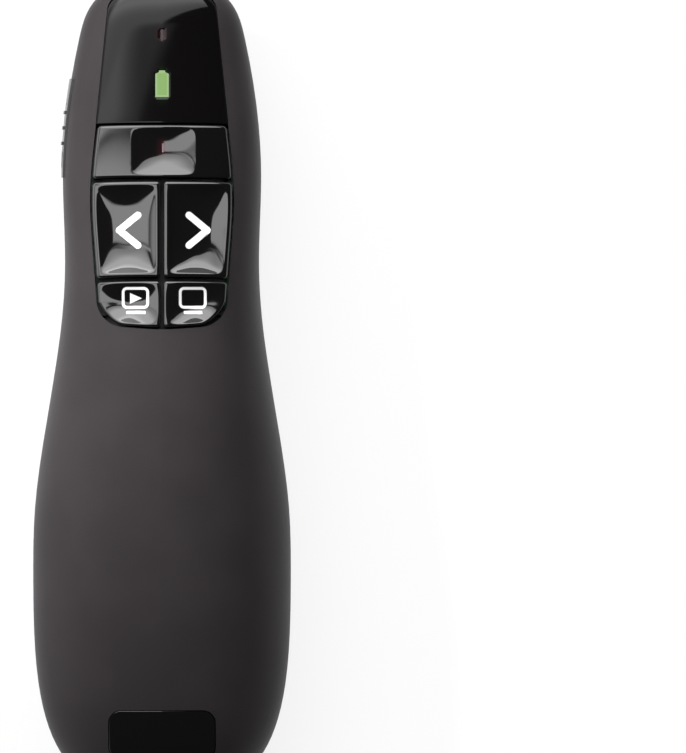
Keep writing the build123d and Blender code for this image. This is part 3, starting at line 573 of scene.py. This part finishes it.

# --- Indicators -----------------------------------------------------------------------------------
# Light pipes of tinted acrylic that carry the light of two diodes up through the window. The battery
# through the window. The battery one is lit, with a paler edge where the light leaves its sides. The laser
# one is not, and a dim red dash of glow is painted into its emission.

battery_glow = Finish("battery_glow", Base_Color=(0.03, 0.06, 0.015), Roughness=0.25, Emission_Strength=1.0)
pale_sides, pale_rear, pale_front = (0.62, 0.80), (42.45, 42.25), (45.45, 45.75)
pale = abs(battery_glow.axis("X")).fade(*pale_sides).at_least(battery_glow.axis("Y").fade(*pale_rear))
pale = pale.at_least(battery_glow.axis("Y").fade(*pale_front))
battery_glow.set(Emission_Color=battery_glow.mix(pale, (0.19, 0.33, 0.09), (0.27, 0.40, 0.19)))
battery_glow.cover(nodes["battery_light"])
laser_glow = Finish("laser_glow", Base_Color=(0.012, 0.003, 0.004), Roughness=0.25, Emission_Strength=1.0)
dash_edge = (0.22, 0.04)
# Painted glow: a dim red dash along the middle of the unlit laser pipe.
painted_glow_dash = abs(laser_glow.axis("X")).fade(*dash_edge)
laser_glow.set(Emission_Color=laser_glow.mix(painted_glow_dash, (0.006, 0.002, 0.003), (0.030, 0.018, 0.020)))
laser_glow.cover(nodes["laser_light"])
epoxy = Finish("led_epoxy", Base_Color=(0.75, 0.75, 0.62), Transmission_Weight=0.4)
epoxy.set(Roughness=0.15 + 0.1 * epoxy.noise(0.3 * mm))
epoxy.cover(nodes["indicator_leds"])

# --- Power switch ---------------------------------------------------------------------------------
# A bezel and a ribbed slider of polished ABS in the left side. The slider's fork moves the lever of a
# slide switch under the edge of the board.

trim = Finish("gloss_trim", Base_Color=(0.010, 0.009, 0.0095), Specular_IOR_Level=0.6)
trim.set(Roughness=0.16 + 0.10 * trim.noise(0.8 * mm))
trim.cover(nodes["switch_bezel"], nodes["power_slider"])


def plastic(name, dark, pale, cloud, roughness, spread, grain, shine=0.45):
    """Plastic that clouds from dark to pale, and is rougher by up to spread at the scale of its grain."""
    made = Finish(name, Specular_IOR_Level=shine)
    made.set(Base_Color=made.mix(made.noise(cloud), dark, pale),
             Roughness=roughness + spread * made.noise(grain))
    return made


moulded = plastic("moulded_black", (0.020, 0.020, 0.021), (0.030, 0.029, 0.030), cloud=2 * mm,
                  roughness=0.45, spread=0.15, grain=0.4 * mm, shine=0.4)
moulded.bump(moulded.noise(0.15 * mm), 0.01 * mm)
moulded.cover(nodes["slide_switch"], nodes["slide_switch_lever"])

# --- Key frame ------------------------------------------------------------------------------------
# A moulded plastic frame below the caps, which guides their five stems. The four screws of the board
# clamp it to the top shell.

moulded.cover(nodes["key_frame"])

# --- Main board -----------------------------------------------------------------------------------
# A printed board under green solder mask with its copper showing through as paler tracks. A radio
# chip and a crystal hang below it, and five switches with pale plungers stand on it.

mask = Finish("solder_mask", Specular_IOR_Level=0.5)
tracks_per_metre, track_edge = 420.0, (0.06, 0.10)
tracks = mask.node("TexVoronoi", {"feature": "DISTANCE_TO_EDGE", "distance": "CHEBYCHEV"},
                   {"Vector": mask.node("TexCoord", output="Object"), "Scale": tracks_per_metre},
                   output="Distance").fade(*track_edge)
mask.set(Base_Color=mask.mix(tracks, (0.012, 0.080, 0.032), (0.004, 0.040, 0.015)),
         Roughness=0.28 + 0.10 * mask.noise(0.5 * mm))
mask.bump(tracks, -0.02 * mm)
mask.cover(nodes["main_board"], nodes["laser_driver_board"], nodes["receiver_board"])
package = Finish("chip_package", Base_Color=(0.014, 0.014, 0.015))
pits = package.noise(0.12 * mm, detail=3.0)
package.set(Roughness=0.50 + 0.25 * pits)
package.bump(pits, 0.008 * mm)
package.cover(nodes["radio_chip"])
plunger_white = plastic("plunger_white", (0.62, 0.58, 0.50), (0.70, 0.66, 0.58), cloud=0.8 * mm,
                        roughness=0.40, spread=0.1, grain=0.3 * mm)
for key in key_sizes:
    moulded.cover(nodes[key + "_switch"])
    plunger_white.cover(nodes[key + "_plunger"])


def metal(name, dark, pale, roughness, grain):
    """A bare or plated metal, a little cloudy, with fine marks from its making."""
    made = Finish(name, Metallic=1.0)
    marks = made.noise(grain, detail=3.0)
    made.set(Base_Color=made.mix(made.noise(2.5 * mm), dark, pale), Roughness=roughness + 0.14 * marks)
    made.bump(marks, 0.004 * mm)
    return made


steel = metal("nickel_steel", (0.60, 0.60, 0.59), (0.72, 0.72, 0.70), 0.20, 0.10 * mm)
steel.cover(nodes["crystal"], nodes["board_screws"])

# --- Laser module ---------------------------------------------------------------------------------
# A brass barrel turned from bar, pressed into two cradles, with a lens in its mouth and a driver board
# soldered to its tail. The beam leaves through a small window in the nose.

brass = metal("turned_brass", (0.58, 0.38, 0.14), (0.68, 0.47, 0.20), 0.22, 0.2 * mm)
turning_rate = 9.0      # radians of the marks' wave to a millimetre
brass.bump((brass.axis("Y") * turning_rate).math("SINE"), 0.006 * mm)
brass.cover(nodes["laser_barrel"])
clear = Finish("clear_lens", Base_Color=(0.90, 0.90, 0.92), Transmission_Weight=0.85)
clear.set(Roughness=0.02 + 0.03 * clear.noise(1 * mm))
clear.cover(nodes["laser_lens"], nodes["laser_exit_lens"])


def pvc(name, dark, pale):
    """The insulation of a wire."""
    return plastic(name, dark, pale, cloud=1.5 * mm, roughness=0.38, spread=0.12, grain=0.3 * mm)


red_pvc = pvc("red_pvc", (0.40, 0.014, 0.012), (0.50, 0.025, 0.020))
black_pvc = pvc("black_pvc", (0.012, 0.012, 0.013), (0.020, 0.020, 0.021))
red_pvc.cover(nodes["laser_wires"])

# --- Batteries ------------------------------------------------------------------------------------
# Two AAA cells lie side by side, turned opposite ways, between a pair of contacts at the front and a
# bridge at the rear, each negative pole on a nickel-plated spring.

cell_middle_y, sleeve_half, band_length = -24.7, 20.7, 8.0


def jacket(name, positive_y, turn):
    """A printed sleeve over a steel can: bare at both ends, with a copper-coloured band at the positive
    end. turn is 1 where that end is the rear one, and -1 where it is the front one."""
    made = Finish(name)
    y = made.axis("Y")
    ends = abs(y - cell_middle_y).fade(sleeve_half, sleeve_half + 0.05)
    beyond_band = (turn * (y - positive_y)).fade(band_length, band_length + 0.1)
    grey = made.mix(made.noise(2 * mm), (0.020, 0.026, 0.032), (0.026, 0.033, 0.040))
    sleeve = made.mix(beyond_band, (0.48, 0.22, 0.08), grey)
    made.set(Base_Color=made.mix(ends, sleeve, (0.66, 0.66, 0.64)), Metallic=ends,
             Roughness=0.26 + 0.10 * made.noise(0.5 * mm))
    return made


jacket("left_jacket", -3.9, -1).cover(nodes["left_cell"])
jacket("right_jacket", -45.5, 1).cover(nodes["right_cell"])
plated = metal("nickel_plate", (0.58, 0.57, 0.54), (0.70, 0.69, 0.66), 0.24, 0.15 * mm)
plated.cover(nodes["positive_contact"], nodes["negative_contact"], nodes["bridge_contact"],
             nodes["negative_spring"], nodes["bridge_spring"])
red_pvc.cover(nodes["positive_wire"])
black_pvc.cover(nodes["negative_wire"])

# --- Battery door and case screws -----------------------------------------------------------------
# The door is moulded and textured like the shells, with grooves for the thumb, and slides off backwards.
# Four steel screws hold the shells together from below.

soft_touch.cover(nodes["battery_door"])
steel.cover(nodes["case_screws"])

# --- Receiver -------------------------------------------------------------------------------------
# A stub docked in the tail between two rails: a housing of the same black plastic round a small board,
# with a nickel-plated plug, a pale tongue in it, and gold-plated contacts on that.

soft_touch.cover(nodes["receiver_housing"])
steel.cover(nodes["receiver_plug"])
gold = metal("gold_plate", (0.70, 0.46, 0.15), (0.80, 0.56, 0.22), 0.18, 0.2 * mm)
gold.cover(nodes["receiver_contacts"])
tongue = plastic("tongue_plastic", (0.66, 0.66, 0.63), (0.74, 0.74, 0.71), cloud=2 * mm,
                 roughness=0.35, spread=0.1, grain=0.3 * mm)
tongue.cover(nodes["receiver_tongue"])

# --- Tail emblem ----------------------------------------------------------------------------------
# A gloss black plate with rounded edges, glued in its recess in the top shell behind the palm, and
# left blank.

piano = Finish("piano_black", Base_Color=(0.003, 0.0026, 0.0028), Specular_IOR_Level=0.8)
piano.set(Roughness=0.03 + 0.03 * piano.noise(3 * mm))
emblem_half, emblem_front, emblem_rear = 7.85 * mm, -47.4 * mm, -54.8 * mm
emblem_sunk, emblem_thickness, emblem_corner = 0.12 * mm, 0.45 * mm, 1.9 * mm
emblem = plate("emblem", (2 * emblem_half, emblem_front - emblem_rear),
               lambda x, y: (-emblem_half, emblem_half, emblem_rear, emblem_front), (emblem_corner,) * 4,
               lambda x, y, depth: Vector((x, y, surface(x, y, -emblem_sunk) + depth)),
               rim=0.25 * mm, step=0.4 * mm)
thickened(emblem, Vector((0, 0, -emblem_thickness)))
piano.cover(emblem)
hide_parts("tail_emblem")
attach(emblem, "case")

# --- Stage ----------------------------------------------------------------------------------------
# The clicker lies on a pale floor that runs on without an edge, in a dim room. A wide soft box hangs
# ahead of it on the left, another stands low beyond it, and a soft spot lights its waist.

bpy.ops.mesh.primitive_plane_add(size=6)
floor = bpy.context.object
floor.name = "floor"


def looked_at(made):
    """1 where the camera, a reflection or a lens looks at it, and 0 where it only lights the object."""
    camera, glossy, through = (made.node("LightPath", output="Is " + kind + " Ray")
                               for kind in ("Camera", "Glossy", "Transmission"))
    return (camera + glossy + through).at_most(1.0)


floor_white = 0.87
paper = Finish("paper", Base_Color=(0.14, 0.14, 0.14), Roughness=0.9, Specular_IOR_Level=0.0,
               Emission_Color=(1, 1, 1))
paper.set(Emission_Strength=floor_white * looked_at(paper))
paper.cover(floor)


class Room(Finish):
    """The world's nodes, with its background as the shader."""

    def __init__(self, made):
        made.use_nodes = True
        self.tree = made.node_tree
        self.shader = self.tree.nodes["Background"]


# Looked at, the room is white round the horizon. That band rises and brightens ahead on the left, where
# a tall window would stand. It lights the object only dimly.
world = bpy.data.worlds.new("studio")
bpy.context.scene.world = world
room = Room(world)
room_light, horizon_white, window_gain = 0.05, 0.95, 1.8
band_edge, band_rise, window_edge = (0.45, 0.25), 0.2, (0.8, 1.15)
east, north, height = (room.node("SeparateXYZ", inputs={"Vector": room.node("TexCoord", output="Generated")},
                                 output=name) for name in ("X", "Y", "Z"))
ahead_left = north - east
band = (height - band_rise * ahead_left).fade(*band_edge)
band = band * (horizon_white + window_gain * ahead_left.fade(*window_edge))
room.set(Color=(1, 1, 1), Strength=room_light + looked_at(room) * band)


def add_lamp(name, kind, place, aim):
    """A lamp that is turned to a point."""
    bpy.ops.object.light_add(type=kind, location=place)
    made = bpy.context.object
    made.name = name
    made.rotation_euler = (Vector(aim) - Vector(place)).to_track_quat("-Z", "Y").to_euler()
    return made


class Glow(Finish):
    """A soft box that the camera doesn't see, and its nodes. x and y are the places across and along it,
    in metres, counted from over the origin where it hangs level."""

    def __init__(self, name, middle, size, aim):
        self.lamp = add_lamp(name, "AREA", middle, aim)
        self.lamp.visible_camera = False
        self.lamp.data.shape = "RECTANGLE"
        self.lamp.data.size, self.lamp.data.size_y = size
        self.lamp.data.energy = math.pi * size[0] * size[1]
        self.lamp.data.use_nodes = True
        self.tree = self.lamp.data.node_tree
        self.shader = self.tree.nodes["Emission"]
        place = {"Vector": self.node("NewGeometry", output="Parametric")}
        across, along = (self.node("SeparateXYZ", inputs=place, output=axis) for axis in ("X", "Y"))
        self.x = (across - 0.5) * size[0] + middle[0]
        self.y = (along - 0.5) * size[1] + middle[1]


# The overhead box glows in three fields, which the polished dishes mirror: one to the left of the keys,
# one ahead of them, and a dim wedge in the gap between these two. Each edge is soft, and gives the two
# places in metres between which the field fades.
over = Glow("overhead_panel", (-0.175, 0.545, 0.6), (1.25, 1.21), aim=(-0.175, 0.545, 0))
left_glow, left_front_loss, left_front_run = 3.2, 1.4, (0.197, 0.2125)
left_outer, left_inner, left_rear, left_front = (-0.80, -0.65), (0.004, -0.004), (0.0, 0.04), (0.2148, 0.2125)
left_lean = 0.04
row = over.y + left_lean * over.x
left_field = over.x.fade(*left_inner) * over.y.fade(*left_rear) * row.fade(*left_front)
left_field = left_field * (left_glow - left_front_loss * row.fade(*left_front_run)) * over.x.fade(*left_outer)

wedge_glow, wedge_gain, wedge_gain_run = 0.8, 2.4, (-0.05, -0.25)
wedge_foot, wedge_lean = 0.216, 2.9
wedge_inner, wedge_rear, wedge_front = (-0.08, -0.13), (0.2195, 0.2225), (0.275, 0.262)
wedge = (over.x - wedge_lean * (over.y - wedge_foot)).fade(*wedge_inner)
wedge = wedge * row.fade(*wedge_rear) * over.y.fade(*wedge_front)
wedge = wedge * (wedge_glow + wedge_gain * over.x.fade(*wedge_gain_run))

nose_glow, nose_gain, nose_gain_run = 2.6, 2.9, (0.27, 0.50)
nose_outer, nose_rear, nose_lean = (-0.62, -0.42), (0.262, 0.275), 0.7
slant = over.y - nose_lean * over.x.at_least(0.0)
nose_field = slant.fade(*nose_rear) * (nose_glow + nose_gain * slant.fade(*nose_gain_run))
over.set(Strength=left_field + wedge + nose_field * over.x.fade(*nose_outer))

# The low box and the spot don't show in the polished faces.
low = Glow("side_panel", (-0.40, 0.74, 0.20), (0.50, 0.36), aim=(0, 0, 0.02))
low.set(Strength=6.0)
low.lamp.visible_glossy = False
spot = add_lamp("waist_spot", "SPOT", (-0.45, 0.35, 0.35), aim=(-0.016, 0.010, 0.015))
spot.visible_glossy = False
spot.data.energy = 30
spot.data.spot_size, spot.data.spot_blend, spot.data.shadow_soft_size = math.radians(8.5), 1.0, 0.04

# The camera looks straight down, and the shift brings view_x, view_y to the middle of the frame.
frame_height, pixels_per_metre = 753, 6860
camera_height, deck_height = 2.5, 0.0245
view_x, view_y = 0.02638, 0.00128
film = 36
bpy.ops.object.camera_add(location=(0, 0, camera_height + deck_height), rotation=(0, 0, 0))
camera = bpy.context.object
camera.data.sensor_width = film
camera.data.lens = film * camera_height / (frame_height / pixels_per_metre)
camera.data.shift_x = view_x * pixels_per_metre / frame_height
camera.data.shift_y = view_y * pixels_per_metre / frame_height
bpy.context.scene.camera = camera
bpy.context.scene.view_settings.view_transform = "Standard"
